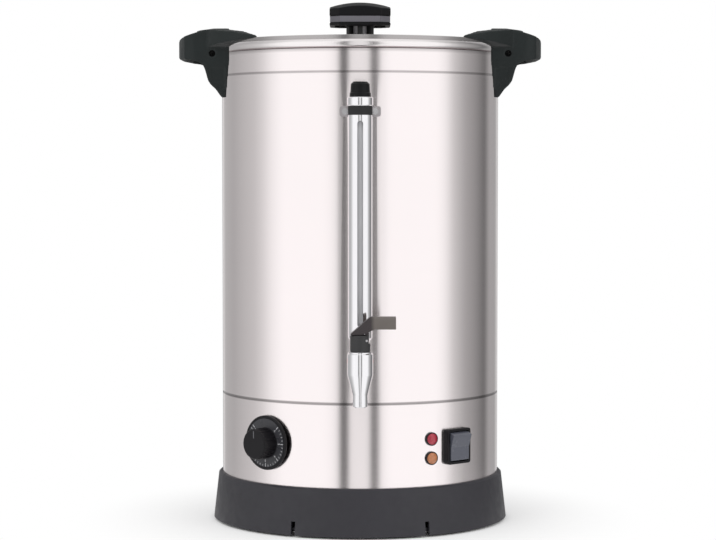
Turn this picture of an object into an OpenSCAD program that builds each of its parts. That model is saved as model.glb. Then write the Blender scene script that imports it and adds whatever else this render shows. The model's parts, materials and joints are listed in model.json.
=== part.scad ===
// Electric hot water urn: a double-walled steel body on a moulded base, with a lift-off lid,
// two moulded handles, a front sight gauge and a lever tap that closes by its own spring.
// The body's axis is Z, the table is z = 0 and the tap faces -Y.

/* [Body] */
// Outside diameter of the steel body
body_d = 256; // [230:1:300]
// Height of the tank's rim above the table
rim_z = 439; // [410:1:560]
// Thickness of the outer sheet
shell_t = 0.8; // [0.6:0.1:1.2]
// Thickness of the tank's sheet
tank_t = 0.8; // [0.6:0.1:1.2]
// Air gap between the jacket and the tank
wall_gap = 9.2; // [7:0.2:14]
// Height of the seam above the control band
low_seam_z = 118.7; // [112:0.1:121]
// Distance from the rim down to the upper seam
high_seam_drop = 28.8; // [20:0.1:40]
// Height of the open groove at each seam
seam_gap = 1.2; // [0.6:0.1:2]
// How far one sheet laps behind the next
lap_h = 7; // [4:0.5:10]
// Height of the tank's floor
tank_floor_z = 128; // [126:0.5:132]
// Radius of the tank's lower corner
tank_corner_r = 10; // [5:0.5:16]
// Radius of the rolled rim
rim_roll_r = 4.2; // [2.5:0.1:4.5]

/* [Base] */
// Height of the skirt's lower edge above the table
foot_gap = 2; // [1:0.5:5]
// Height of the base skirt
skirt_h = 42; // [36:1:50]
// How far the skirt's top stands proud of the body
skirt_proud = 3.5; // [2:0.1:6]
// How much wider the skirt's bottom is than its top, on the radius
skirt_flare = 4.8; // [0:0.1:10]
// Wall thickness of the base moulding
skirt_t = 3; // [2:0.1:4]
// Depth of the body's seat in the skirt
seat_depth = 6; // [4:0.5:10]
// Diameter of each rubber foot
foot_d = 24; // [16:1:30]
// Distance of the feet from the body's side
foot_inset = 16; // [13:0.5:30]
// Angle of the feet from the front and from the back
foot_az = 40; // [30:1:60]
// Width of the drain notches in the skirt
notch_w = 4; // [2:0.5:8]
// Height of the drain notches
notch_h = 12; // [5:0.5:20]
// Angle of the drain notches from the front and from the back
notch_az = 26; // [10:1:35]

/* [Lid] */
// Outside radius of the lid's hem, measured in from the body's side
lid_inset = 6.4; // [6:0.1:8]
// Height of the lid's centre above the rim
lid_rise = 7.6; // [6.5:0.1:12]
// Thickness of the lid's sheet
lid_t = 0.8; // [0.6:0.1:1.2]
// Height of the lid's hem at its edge
lid_hem_h = 3.6; // [3:0.1:5]
// Clearance of the locating ring in the tank
lid_ring_gap = 1; // [0.5:0.1:2]
// How far the locating ring reaches below the rim
lid_ring_drop = 12; // [6:0.5:20]
// Width of the lid's knob across its flats
knob_w = 56.2; // [40:0.2:70]
// Height of the lid's knob
knob_h = 22; // [18:0.5:30]
// Cut across each corner of the knob, measured along its side
knob_corner = 8.5; // [4:0.5:14]
// Diameter of the ribbed spacer below the knob
spacer_d = 27; // [20:0.5:32]
// Height of the ribbed spacer
spacer_h = 8.7; // [4:0.1:12]
// Number of ribs on the spacer
spacer_ribs = 6; // [4:1:10]

/* [Handles] */
// Reach of each handle beyond the body
handle_reach = 39.5; // [34:0.5:52]
// Half of each handle's width along the body
handle_half_w = 49.5; // [42:0.5:56]
// Half of each handle's width at its lower end
handle_low_half_w = 39; // [30:0.5:42]
// Height of the handle's top above the rim
handle_top = 13.2; // [10:0.2:18]
// How far the handle's lower end lies below the rim
handle_drop = 49; // [46:0.5:64]
// Wall thickness of the handle moulding
handle_t = 3.6; // [2.5:0.1:4.5]
// Depth of the lip that the fingers close on
handle_lip_h = 16; // [12:0.2:20]
// Angle from the side at which the hood along the rim ends
hood_az = 44; // [38:0.5:52]
// Distance of each bracket screw from the middle of the handle
handle_screw_y = 20; // [14:0.5:24]

/* [Tap] */
// Distance of the tap's axis from the body's side
tap_out = 47; // [44:0.5:60]
// Height of the tap's inlet above the tank's floor
tap_rise = 29; // [24:0.5:40]
// Radius of the tap's barrel
barrel_r = 11; // [10:0.1:13]
// Radius of the tap's outlet bore
outlet_r = 4.5; // [3.5:0.1:5]
// Wall thickness of the spout
spout_t = 2; // [1.2:0.1:3]
// Length of the straight spout
spout_h = 10.5; // [6:0.5:20]
// Height of the cone between the spout and the barrel
cone_h = 17; // [10:0.5:24]
// Height of the barrel above the cone
barrel_h = 18.9; // [17:0.1:28]
// Radius of the tap's stem
stem_r = 2.5; // [2:0.1:3]
// Distance of the lever's pivot from the stem
pivot_out = 5.5; // [5:0.1:6]
// Radius of the lever's pivot pin
pivot_pin_r = 1; // [0.8:0.05:1.2]
// Length of the lever from the stem
lever_len = 30.6; // [26:0.2:46]
// Height of the lever's paddle
paddle_h = 10.7; // [6:0.1:14]
// Width of the lever's paddle
paddle_w = 12; // [10:0.5:16]
// Radial clearance of shafts and pins that turn
run_fit = 0.06; // [0.02:0.01:0.1]

/* [Sight gauge] */
// Distance of the gauge's axis from the body's side
gauge_out = 19; // [18:0.5:26]
// Outside radius of the guard tube
guard_r = 10.5; // [9:0.1:12]
// Thickness of the guard tube
guard_t = 0.8; // [0.5:0.1:1.5]
// Width of the guard's front window
window_w = 5; // [3:0.5:8]
// Outside radius of the gauge glass
glass_r = 6; // [4:0.1:7]
// Wall of the gauge glass
glass_t = 1.4; // [0.8:0.1:2]
// Distance from the rim down to the top of the gauge's cap
gauge_cap_drop = 38.5; // [34:0.5:60]

/* [Controls] */
// Angle of the thermostat dial from the front
dial_az = -40; // [-50:1:-30]
// Height of the dial's centre
dial_z = 81.3; // [74:0.1:86]
// Diameter of the dial's disc
dial_d = 48.7; // [40:0.1:54]
// Diameter of the dial's grip
grip_d = 27.4; // [24:0.1:34]
// How far the dial's grip stands out
grip_out = 19; // [14:0.5:26]
// Radius of the thermostat's spindle
spindle_r = 3; // [2.5:0.1:3.5]
// Angle of the switch from the front
switch_az = 42; // [38:1:50]
// Height of the switch's centre
switch_z = 78; // [70:0.1:86]
// Width of the switch's bezel
switch_w = 28; // [24:0.5:32]
// Height of the switch's bezel
switch_h = 31.5; // [26:0.5:36]
// How far the switch's bezel stands out
switch_out = 4.5; // [3:0.1:7]
// Angle of the lamps from the front
lamp_az = 29.5; // [24:0.5:31]
// Height of the red lamp
red_z = 86.1; // [82:0.1:92]
// Height of the amber lamp
amber_z = 69; // [64:0.1:72]
// Diameter of each lamp's bezel
lamp_d = 12; // [9:0.1:13]
// Height of the cable gland
gland_z = 66; // [58:0.5:80]
// Radius of the cable gland's bore
gland_bore_r = 4; // [3:0.1:4.5]

/* [Hidden] */
$fn = 96;
e = 0.01; // overlap that makes two shapes of one piece join

body_r = body_d / 2;
jacket_ri = body_r - shell_t;
lap_ri = jacket_ri - shell_t;
tank_ro = jacket_ri - wall_gap;
tank_ri = tank_ro - tank_t;
high_seam_z = rim_z - high_seam_drop;
collar_z = rim_z - 2 * rim_roll_r;
roll_c = body_r - 0.1 - rim_roll_r;

skirt_z1 = foot_gap + skirt_h;
skirt_r1 = body_r + skirt_proud;
skirt_r0 = skirt_r1 + skirt_flare;
ledge_z = skirt_z1 - seat_depth;
plate_z = foot_gap + 2;
plate_t = 1;
flange_ri = body_r - foot_inset - 14;
foot_r = body_r - foot_inset;

lid_r = body_r - lid_inset;
lid_z = rim_z + lid_rise;
lid_edge_drop = lid_rise - lid_hem_h;
dome_r = (lid_r * lid_r + lid_edge_drop * lid_edge_drop) / (2 * lid_edge_drop);
lid_ring_r = tank_ri - lid_ring_gap;
washer_t = 1.2;
knob_flat_r = 20;
spacer_z = lid_z + washer_t;
knob_z = spacer_z + spacer_h;
knob_top = knob_z + knob_h;

tap_y = -(body_r + tap_out);
tap_z = tank_floor_z + tap_rise;
shank_r = 7;
shank_bore_r = 4.5;
nut_r = 11.5;
cone_z = tap_z - 8 - cone_h;
seat_z = cone_z + cone_h;
spout_z = cone_z - spout_h;
barrel_z = seat_z + barrel_h;
chamber_r = barrel_r - 2.5;
neck_r = 5;
bonnet_z = barrel_z + 1;
hub_r = barrel_r - 2.25;
hub_z = bonnet_z + 0.3;
slot_z = hub_z + 7;
hub_top = slot_z + 7.1;
slot_half_w = 4.7;
tongue_half_w = slot_half_w - 0.15;
pivot_z = slot_z + 2.7;
tongue_r = 2;
nose_r = 1.8;
prong_y = stem_r + 0.3;
head_z = pivot_z - 0.25 + nose_r + 0.15;
head_t = 1.5;
head_r = slot_half_w - 0.8;
lever_z = hub_top + 0.3;
seal_t = 3.5;
disc_z = seat_z + seal_t;
disc_t = 2;
spring_z0 = disc_z + disc_t;
plug_h = 5;
spring_z1 = barrel_z - plug_h;

gauge_y = -(body_r + gauge_out);
guard_z0 = barrel_z + 15.8;
gauge_cap_z1 = rim_z - gauge_cap_drop;
gauge_cap_h = 13.3;
gauge_collar_z = gauge_cap_z1 - gauge_cap_h - 7.5;
gauge_seal_z = gauge_collar_z - 8;
gauge_nut_r = 7.8;
tee_r = 9;
gauge_nut_z = tap_z + tee_r + 0.3;

// Radius of the skirt's outside at height z
function skirt_r(z) = skirt_r0 + (skirt_r1 - skirt_r0) * (z - foot_gap) / skirt_h;

module ring(ro, ri, z0, z1) {
    rotate_extrude() translate([ri, z0]) square([ro - ri, z1 - z0]);
}

// A rectangle of a revolve's profile, from the axis out to r, with its lower corner rounded
module rounded_block(r, z0, z1, c) {
    translate([0, z0 + c]) square([r, z1 - z0 - c]);
    translate([0, z0]) square([r - c, z1 - z0]);
    translate([r - c, z0 + c]) circle(c);
}

module slot2d(l, w) {
    square([l - w, w], center = true);
    for (s = [-1, 1]) translate([s * (l - w) / 2, 0]) circle(d = w);
}

module rounded_rect(w, h, c) {
    square([w - 2 * c, h], center = true);
    square([w, h - 2 * c], center = true);
    for (x = [-1, 1], y = [-1, 1]) translate([x * (w / 2 - c), y * (h / 2 - c)]) circle(c);
}

// Places children on the side of the body: their +Z points outwards and their +Y points up
module on_side(az, z, r = body_r) {
    rotate([0, 0, az]) translate([0, -r, z]) rotate([90, 0, 0]) children();
}

// Places children on an axis that points from the body's centre to the front
module along_front(y, z) {
    translate([0, y, z]) rotate([90, 0, 0]) children();
}

module at_corners(az) {
    for (a = [-az, az, 180 - az, 180 + az]) rotate([0, 0, a]) children();
}

module hex(flats, h) {
    cylinder(r = flats / 2 / cos(30), h = h, $fn = 6);
}

// A screw with its head's underside at z = 0, its shank below and a cross recess on top
module screw(head_r, head_h, shank_r, shank_l) {
    difference() {
        union() {
            cylinder(r = head_r, h = head_h);
            translate([0, 0, -shank_l]) cylinder(r = shank_r, h = shank_l + e);
        }
        for (a = [0, 90]) rotate([0, 0, a]) translate([0, 0, head_h])
            cube([head_r * 1.2, head_r * 0.28, head_h], center = true);
    }
}

// A round bar along a list of points, with a ball a little thicker than the bar at each corner
module bar(points, r) {
    for (i = [0:len(points) - 2]) {
        a = points[i];
        d = points[i + 1] - a;
        translate(a) rotate([0, acos(d[2] / norm(d)), atan2(d[1], d[0])])
            cylinder(r = r, h = norm(d));
    }
    for (i = [1:len(points) - 2]) translate(points[i]) sphere(1.15 * r);
}

/* ---------- base ---------- */

module skirt_profile() {
    edge = 1.4;
    polygon([
        [skirt_r0, foot_gap], [skirt_r(foot_gap + edge), foot_gap + edge],
        [skirt_r(skirt_z1 - edge), skirt_z1 - edge], [skirt_r1 - edge, skirt_z1],
        [body_r, skirt_z1], [body_r, ledge_z], [lap_ri - 2, ledge_z],
        [lap_ri - 2, ledge_z - skirt_t], [skirt_r(ledge_z - skirt_t) - skirt_t, ledge_z - skirt_t],
        [skirt_r(plate_z + plate_t + skirt_t) - skirt_t, plate_z + plate_t + skirt_t],
        [flange_ri, plate_z + plate_t + skirt_t], [flange_ri, plate_z + plate_t],
        [skirt_r(plate_z + plate_t) - skirt_t, plate_z + plate_t],
        [skirt_r0 - skirt_t, foot_gap]
    ]);
}

boss_h = 10;
boss_r = 5;
foot_screw_r = 2;

module base_skirt() {
    color("#333136") difference() {
        union() {
            rotate_extrude() skirt_profile();
            at_corners(foot_az) translate([0, -foot_r, plate_z + plate_t])
                cylinder(r = boss_r, h = skirt_t + boss_h);
            // stiffening webs between the flange and the body's ledge
            for (a = [0:45:315]) rotate([0, 0, a])
                translate([-1.2, -skirt_r1 + 1, plate_z + plate_t + e])
                    cube([2.4, 14, ledge_z - skirt_t - plate_z - plate_t]);
        }
        at_corners(foot_az) translate([0, -foot_r, plate_z])
            cylinder(r = foot_screw_r, h = skirt_t + boss_h);
        at_corners(notch_az) translate([-notch_w / 2, -skirt_r0 - 1, foot_gap - 1])
            cube([notch_w, skirt_t + 3, notch_h + 1]);
    }
}

module feet() {
    color("#1d1d1f") at_corners(foot_az) translate([0, -foot_r, 0]) difference() {
        rotate_extrude() polygon([
            [foot_screw_r, 0], [foot_d / 2 - 1.5, 0], [foot_d / 2, 1.5],
            [foot_d / 2, plate_z], [foot_screw_r, plate_z]
        ]);
        translate([0, 0, -1]) cylinder(r = 5.2, h = plate_z / 2 + 1);
    }
}

module foot_screws() {
    color("silver") at_corners(foot_az) translate([0, -foot_r, plate_z / 2]) mirror([0, 0, 1])
        screw(4.4, 1.4, foot_screw_r, plate_z / 2 + plate_t + boss_h);
}

module bottom_plate() {
    rows = 3;
    pitch = 15;
    color("gainsboro") translate([0, 0, plate_z]) linear_extrude(plate_t) difference() {
        circle(skirt_r(plate_z + plate_t) - skirt_t - 1);
        for (a = [-foot_az, foot_az, 180 - foot_az, 180 + foot_az])
            rotate(a) translate([0, -foot_r]) circle(foot_screw_r);
        for (a = [0:15:345], k = [0:rows - 1])
            rotate(a) translate([foot_r / 2 - 12 + k * pitch, 0]) slot2d(11, 3.5);
    }
}

/* ---------- shells and tank ---------- */

module control_band() {
    zs = low_seam_z - seam_gap / 2;
    zl = zs + seam_gap + lap_h;
    color("lightgray") difference() {
        rotate_extrude() polygon([
            [jacket_ri, ledge_z], [body_r, ledge_z], [body_r, zs], [jacket_ri, zs],
            [jacket_ri, zl], [lap_ri, zl], [lap_ri, zs - shell_t], [jacket_ri, zs - shell_t]
        ]);
        on_side(dial_az, dial_z, body_r - 3) cylinder(r = bush_r, h = 4);
        on_side(switch_az, switch_z, body_r - 4) linear_extrude(5)
            square([housing_w, housing_h], center = true);
        for (z = [red_z, amber_z]) on_side(lamp_az, z, body_r - 3)
            cylinder(r = lamp_bush_r, h = 4);
        on_side(180, gland_z, body_r - 3) cylinder(r = gland_bush_r, h = 4);
    }
}

module outer_jacket() {
    color("silver") difference() {
        ring(body_r, jacket_ri, low_seam_z + seam_gap / 2, high_seam_z - seam_gap / 2);
        on_side(0, tap_z, body_r - 3) cylinder(r = shank_r, h = 4);
        for (x = [-1, 1]) translate([x * saddle_screw_x, 0, 0])
            on_side(0, saddle_z, body_r - 3) cylinder(r = saddle_screw_r, h = 4);
    }
}

module rim_collar() {
    zs = high_seam_z + seam_gap / 2;
    zl = zs - seam_gap - lap_h;
    color("silver") difference() {
        rotate_extrude() polygon([
            [body_r, zs], [body_r, collar_z], [tank_ro, collar_z], [tank_ro, collar_z - shell_t],
            [jacket_ri, collar_z - shell_t], [jacket_ri, zs + shell_t], [lap_ri, zs + shell_t],
            [lap_ri, zl], [jacket_ri, zl], [jacket_ri, zs]
        ]);
        handle_screw_places() translate([0, 0, -5]) cylinder(r = handle_screw_r, h = 6);
    }
}

module inner_tank() {
    color("gainsboro") difference() {
        rotate_extrude() {
            difference() {
                rounded_block(tank_ro, tank_floor_z - tank_t, rim_z, tank_corner_r);
                rounded_block(tank_ri, tank_floor_z, rim_z + 1, tank_corner_r - tank_t);
                translate([-tank_ro, 0]) square([tank_ro, 2 * rim_z]);
            }
            translate([tank_ri, rim_z - tank_t]) square([roll_c - tank_ri, tank_t]);
            translate([roll_c, rim_z - rim_roll_r]) difference() {
                circle(rim_roll_r);
                circle(rim_roll_r - tank_t);
                translate([-rim_roll_r - 1, 0]) square([rim_roll_r + 1, rim_roll_r - tank_t]);
            }
        }
        on_side(0, tap_z, tank_ro - 4) cylinder(r = shank_r, h = 6);
    }
}

/* ---------- heating ---------- */

element_plate_t = 4;
element_plate_z = tank_floor_z - tank_t - element_plate_t;
element_r = 4.2;
element_ring_r = 78;
clamp_t = 2;
clamp_z = element_plate_z - 2 * element_r - clamp_t;

module element_plate() {
    color("darkgray") difference() {
        translate([0, 0, element_plate_z])
            cylinder(r = tank_ro - tank_corner_r - 8, h = element_plate_t);
        translate([0, 0, element_plate_z - 1]) cylinder(r = 2.5, h = element_plate_t + 2);
    }
}

module heating_element() {
    color("dimgray") translate([0, 0, element_plate_z - element_r]) {
        rotate([0, 0, 100]) rotate_extrude(angle = 340) translate([element_ring_r, 0])
            circle(element_r);
        // cold ends that turn down to the terminals
        for (a = [80, 100]) rotate([0, 0, a]) translate([element_ring_r, 0, -22]) {
            cylinder(r = element_r, h = 22);
            translate([0, 0, 22]) sphere(element_r);
            translate([0, 0, -9]) cylinder(r = 1.6, h = 10);
        }
    }
}

module element_clamp() {
    reach = element_ring_r + element_r + 3;
    color("silver") {
        difference() {
            for (a = [0, 60, 120]) rotate([0, 0, a]) translate([-reach, -8, clamp_z])
                cube([2 * reach, 16, clamp_t]);
            translate([0, 0, clamp_z - 1]) cylinder(r = 2.5, h = clamp_t + 2);
        }
        translate([0, 0, clamp_z - 8])
            cylinder(r = 2.5, h = element_plate_z + element_plate_t - clamp_z + 8);
        translate([0, 0, clamp_z - 5]) difference() {
            hex(10, 5);
            translate([0, 0, -1]) cylinder(r = 2.5, h = 7);
        }
    }
}

module thermal_cutout() {
    color("tan") translate([38, -14, element_plate_z]) {
        translate([0, 0, -2]) cylinder(r = 9, h = 2);
        translate([0, 0, -8]) cylinder(r = 7.8, h = 6);
        for (x = [-1, 1]) translate([x * 4 - 0.4, -3, -16]) cube([0.8, 6, 8]);
    }
}

bulb_r = 3;
bulb_y = -48;
bulb_z = element_plate_z - bulb_r;

module sensor_bulb() {
    panel_r = body_r - 24;
    panel_z = dial_z + thermostat_r - 1.6;
    panel = [panel_r * sin(dial_az), -panel_r * cos(dial_az), panel_z];
    color("peru") {
        translate([-30, bulb_y, bulb_z]) rotate([0, 90, 0]) cylinder(r = bulb_r, h = 60);
        bar([[-30 + e, bulb_y, bulb_z], [-44, bulb_y, bulb_z], [-58, -64, bulb_z - 12],
            panel + [0, 0, 6], panel], 1);
    }
}

/* ---------- thermostat, dial and electrics ---------- */

bush_r = 5;
thermostat_r = 15;
nut_h = 2.6;

module thermostat_body() {
    color("#3a3a3c") intersection() {
        on_side(dial_az, dial_z) difference() {
            union() {
                translate([0, 0, -4]) cylinder(r = thermostat_r, h = 4);
                translate([0, 0, -30]) cylinder(r = thermostat_r - 1.5, h = 27);
                translate([0, 0, -4]) cylinder(r = bush_r, h = 8);
                for (x = [-6, 6]) translate([x - 3, -7, -38]) cube([6, 0.8, 9]);
            }
            translate([0, 0, -26]) cylinder(r = spindle_r + run_fit, h = 40);
        }
        union() {
            translate([0, 0, ledge_z]) cylinder(r = jacket_ri, h = low_seam_z - ledge_z);
            on_side(dial_az, dial_z, body_r - 4) cylinder(r = bush_r, h = 12);
        }
    }
}

module thermostat_nut() {
    color("silver") on_side(dial_az, dial_z) difference() {
        hex(14, nut_h);
        translate([0, 0, -1]) cylinder(r = bush_r, h = nut_h + 2);
    }
}

disc_gap = 0.5;
disc_rim = 2.6;
nut_recess_r = 9.6;
flute_r = 1.1;

module dial_knob() {
    flutes = 20;
    color("#1b1a1e") on_side(dial_az, dial_z) difference() {
        rotate_extrude() difference() {
            polygon([
                [0, disc_gap], [dial_d / 2 - 1, disc_gap], [dial_d / 2, disc_gap + 1],
                [dial_d / 2, disc_gap + disc_rim], [dial_d / 2 - 2, disc_gap + disc_rim + 0.6],
                [dial_d / 2 - 2.4, disc_gap + disc_rim], [grip_d / 2, disc_gap + disc_rim],
                [grip_d / 2, grip_out - 1.5], [grip_d / 2 - 1.5, grip_out], [0, grip_out]
            ]);
            square([nut_recess_r, disc_gap + nut_h + 1.1]);
            square([spindle_r, grip_out - 5]);
        }
        for (k = [1:flutes]) rotate([0, 0, k * 360 / (flutes + 1)])
            translate([grip_d / 2 + flute_r / 2, 0, disc_gap + disc_rim + 1.5])
                cylinder(r = flute_r, h = grip_out);
    }
}

module dial_scale() {
    color("gray") on_side(dial_az, dial_z) translate([0, 0, disc_gap + disc_rim]) difference() {
        cylinder(r = dial_d / 2 - 2.6, h = 0.3);
        translate([0, 0, -1]) cylinder(r = grip_d / 2 + 0.1, h = 2);
    }
}

module dial_spindle() {
    color("silver") on_side(dial_az, dial_z) translate([0, 0, -25])
        cylinder(r = spindle_r, h = grip_out + 20);
}

module terminal_block() {
    poles = 3;
    pole_w = 14;
    color("ivory") translate([-poles * pole_w / 2, 34, plate_z + plate_t]) difference() {
        union() {
            cube([poles * pole_w, 22, 8]);
            for (k = [0:poles - 1]) translate([k * pole_w + 1.5, 3, 0])
                cube([pole_w - 3, 16, 17]);
        }
        for (k = [0:poles - 1], y = [7, 15]) translate([(k + 0.5) * pole_w, y, 10])
            cylinder(r = 2, h = 8);
    }
}

gland_bush_r = 7.5;
gland_out = 20;

module cable_gland() {
    color("#1d1d1f") on_side(180, gland_z) difference() {
        union() {
            difference() {
                cylinder(r = 12, h = 4);
                translate([0, 0, -body_r]) rotate([90, 0, 0])
                    cylinder(r = body_r, h = 40, center = true);
            }
            translate([0, 0, -14]) cylinder(r = gland_bush_r, h = 15);
            translate([0, 0, 4 - e]) hex(18, 7);
            translate([0, 0, 11 - 2 * e]) cylinder(r1 = 8.6, r2 = 6, h = gland_out - 11);
        }
        translate([0, 0, -15]) cylinder(r = gland_bore_r, h = gland_out + 20);
    }
}

module gland_nut() {
    color("#1d1d1f") intersection() {
        on_side(180, gland_z) difference() {
            translate([0, 0, -6]) hex(21, 6);
            translate([0, 0, -7]) cylinder(r = gland_bush_r, h = 8);
        }
        cylinder(r = jacket_ri, h = low_seam_z);
    }
}

lamp_bush_r = 4.4;

module lamp_bodies() {
    color("#1d1d1f") for (z = [red_z, amber_z]) on_side(lamp_az, z) {
        difference() {
            union() {
                cylinder(r = lamp_d / 2, h = 1.6);
                translate([0, 0, -2]) cylinder(r = lamp_bush_r, h = 3);
            }
            translate([0, 0, 0.6]) cylinder(r = lamp_d / 2 - 1, h = 2);
        }
        translate([0, 0, -22]) cylinder(r = lamp_bush_r, h = 21);
        for (x = [-1, 1]) translate([x * 2 - 0.3, -1.5, -28]) cube([0.6, 3, 7]);
    }
}

module lens(z) {
    lens_r = lamp_d / 2 - 1;
    on_side(lamp_az, z) translate([0, 0, 0.6]) rotate_extrude() intersection() {
        union() {
            square([lens_r, 1.4]);
            translate([0, 3.4 - lens_r * 1.4]) circle(lens_r * 1.4);
        }
        square([lens_r, 4]);
    }
}

module red_lens() {
    color("#b02a3a") lens(red_z);
}

module amber_lens() {
    color("#d08a30") lens(amber_z);
}

housing_w = switch_w - 3;
housing_h = switch_h - 2.5;
rocker_w = switch_w - 6;
rocker_r = switch_h / 2 - 2.7;
rocker_gap = 0.4;
rocker_pivot = 1;
pin_r = 1.4;
rocker_tilt = 9;

module switch_housing() {
    color("#1b1a1e") difference() {
        on_side(switch_az, switch_z) difference() {
            union() {
                translate([0, 0, -2]) linear_extrude(switch_out + 2)
                    rounded_rect(switch_w, switch_h, 2.5);
                translate([0, 0, -28]) linear_extrude(28)
                    square([housing_w, housing_h], center = true);
                for (y = [-8, 0, 8]) translate([-3, y - 0.4, -37]) cube([6, 0.8, 10]);
            }
            translate([-rocker_w / 2 - rocker_gap, 0, rocker_pivot]) rotate([0, 90, 0])
                cylinder(r = rocker_r + rocker_gap, h = rocker_w + 2 * rocker_gap);
            translate([-rocker_w / 2 - rocker_gap, -rocker_r - rocker_gap, rocker_pivot])
                cube([rocker_w + 2 * rocker_gap, 2 * (rocker_r + rocker_gap), 20]);
            translate([-rocker_w / 2 - 1.4, 0, rocker_pivot]) rotate([0, 90, 0])
                cylinder(r = pin_r + run_fit, h = rocker_w + 2.8);
        }
        // the bezel sits on the shell, and what is behind it passes through the panel's hole
        difference() {
            ring(body_r, lap_ri - 4, ledge_z, low_seam_z);
            on_side(switch_az, switch_z, body_r - 34) linear_extrude(60)
                square([housing_w, housing_h], center = true);
        }
    }
}

module switch_rocker() {
    color("#55565f") on_side(switch_az, switch_z) translate([0, 0, rocker_pivot])
        rotate([rocker_tilt, 0, 0]) {
            difference() {
                rotate([0, 90, 0]) cylinder(r = rocker_r, h = rocker_w, center = true);
                for (s = [-1, 1]) rotate([s * rocker_tilt, 0, 0])
                    translate([-rocker_w, s > 0 ? 0 : -40, 4.6]) cube([2 * rocker_w, 40, 20]);
                translate([-rocker_w, -20, -24]) cube([2 * rocker_w, 40, 20]);
            }
            rotate([0, 90, 0]) cylinder(r = pin_r, h = rocker_w + 2, center = true);
        }
}

/* ---------- tap shank and sight gauge ---------- */

seal_y = -(body_r + 2.6);
tee_flange_h = 3;
tee_front_y = tap_y + 13;
inner_seal_y = -(tank_ri - 2.4);
shank_end_y = inner_seal_y + 16;
branch_r = 6.8;

module shank_seals() {
    color("firebrick") difference() {
        union() {
            difference() {
                along_front(-body_r + 2, tap_z) cylinder(r = nut_r, h = 2 + 2.6);
                cylinder(r = body_r, h = rim_z);
            }
            intersection() {
                along_front(inner_seal_y, tap_z) cylinder(r = nut_r, h = 6);
                cylinder(r = tank_ri, h = rim_z);
            }
        }
        along_front(0, tap_z) cylinder(r = shank_r, h = body_r + 20);
    }
}

module shank_spacer() {
    color("silver") intersection() {
        along_front(-tank_ro + 4, tap_z) difference() {
            cylinder(r = shank_r + 3, h = wall_gap + 8);
            translate([0, 0, -1]) cylinder(r = shank_r, h = wall_gap + 10);
        }
        ring(jacket_ri, tank_ro, tap_z - 20, tap_z + 20);
    }
}

module shank_nut() {
    nut_t = 7;
    color("silver") along_front(inner_seal_y + nut_t, tap_z) difference() {
        hex(2 * nut_r * cos(30), nut_t);
        translate([0, 0, -1]) cylinder(r = shank_r, h = nut_t + 2);
    }
}

module gauge_tee() {
    color("whitesmoke") difference() {
        union() {
            along_front(shank_end_y, tap_z) cylinder(r = shank_r, h = shank_end_y - seal_y + e);
            along_front(seal_y, tap_z) hex(2 * (nut_r - 0.5) * cos(30), tee_flange_h);
            along_front(seal_y - tee_flange_h + e, tap_z)
                cylinder(r = tee_r, h = seal_y - tee_flange_h - tee_front_y + e);
            translate([0, gauge_y, tap_z]) cylinder(r = branch_r, h = barrel_z + 2 - tap_z);
            translate([0, gauge_y, tap_z]) sphere(tee_r + 0.6);
        }
        along_front(shank_end_y + 1, tap_z)
            cylinder(r = shank_bore_r, h = shank_end_y - tee_front_y + 2);
        along_front(tee_front_y + socket_l, tap_z) cylinder(r = spigot_r, h = socket_l + 1);
        translate([0, gauge_y, tap_z]) cylinder(r = 3, h = 40);
        translate([0, gauge_y, barrel_z - 6]) cylinder(r = glass_r, h = 20);
    }
}

module gauge_nut() {
    color("whitesmoke") translate([0, gauge_y, 0]) rotate_extrude() polygon([
        [branch_r, gauge_nut_z], [gauge_nut_r + 0.4, gauge_nut_z], [gauge_nut_r + 0.4, barrel_z + 5],
        [gauge_nut_r - 0.6, barrel_z + 7], [guard_r - 1.6, barrel_z + 9], [guard_r, barrel_z + 11],
        [guard_r, guard_z0], [glass_r, guard_z0], [glass_r, barrel_z + 2], [branch_r, barrel_z + 2]
    ]);
}

module gauge_glass() {
    color([0.85, 0.92, 0.95, 0.4]) translate([0, gauge_y, 0])
        ring(glass_r, glass_r - glass_t, barrel_z - 6, gauge_cap_z1 - 5);
}

module gauge_guard() {
    end_h = 5;
    color("whitesmoke") translate([0, gauge_y, 0]) difference() {
        ring(guard_r, guard_r - guard_t, guard_z0, gauge_seal_z);
        translate([0, -guard_r, 0]) rotate([90, 0, 0]) translate([0, 0, -guard_r / 2])
            linear_extrude(guard_r) translate([0, (guard_z0 + gauge_seal_z) / 2])
                rotate(90) slot2d(gauge_seal_z - guard_z0 - 2 * end_h, window_w);
    }
}

module gauge_seal() {
    color("#1d1d1f") translate([0, gauge_y, 0])
        ring(guard_r, glass_r, gauge_seal_z, gauge_collar_z);
}

module gauge_collar() {
    collar_r = guard_r + 0.7;
    color("whitesmoke") translate([0, gauge_y, 0]) rotate_extrude() polygon([
        [glass_r, gauge_collar_z], [collar_r - 0.6, gauge_collar_z], [collar_r, gauge_collar_z + 0.6],
        [collar_r, gauge_collar_z + 6.9], [collar_r - 0.6, gauge_collar_z + 7.5],
        [glass_r, gauge_collar_z + 7.5]
    ]);
}

module gauge_cap() {
    z0 = gauge_collar_z + 7.5;
    cap_r = glass_r + 2.6;
    color("#1d1d1f") translate([0, gauge_y, 0]) rotate_extrude() polygon([
        [glass_r, z0], [cap_r + 0.6, z0], [cap_r + 0.6, z0 + 3.4], [cap_r, z0 + 4],
        [cap_r - 0.5, gauge_cap_z1 - 2], [cap_r - 2.5, gauge_cap_z1], [1, gauge_cap_z1],
        [1, gauge_cap_z1 - 5], [glass_r, gauge_cap_z1 - 5]
    ]);
}

saddle_z = gauge_seal_z + 3.6;
saddle_screw_x = 13;
saddle_screw_r = 1.6;
saddle_t = 1.6;

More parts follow.
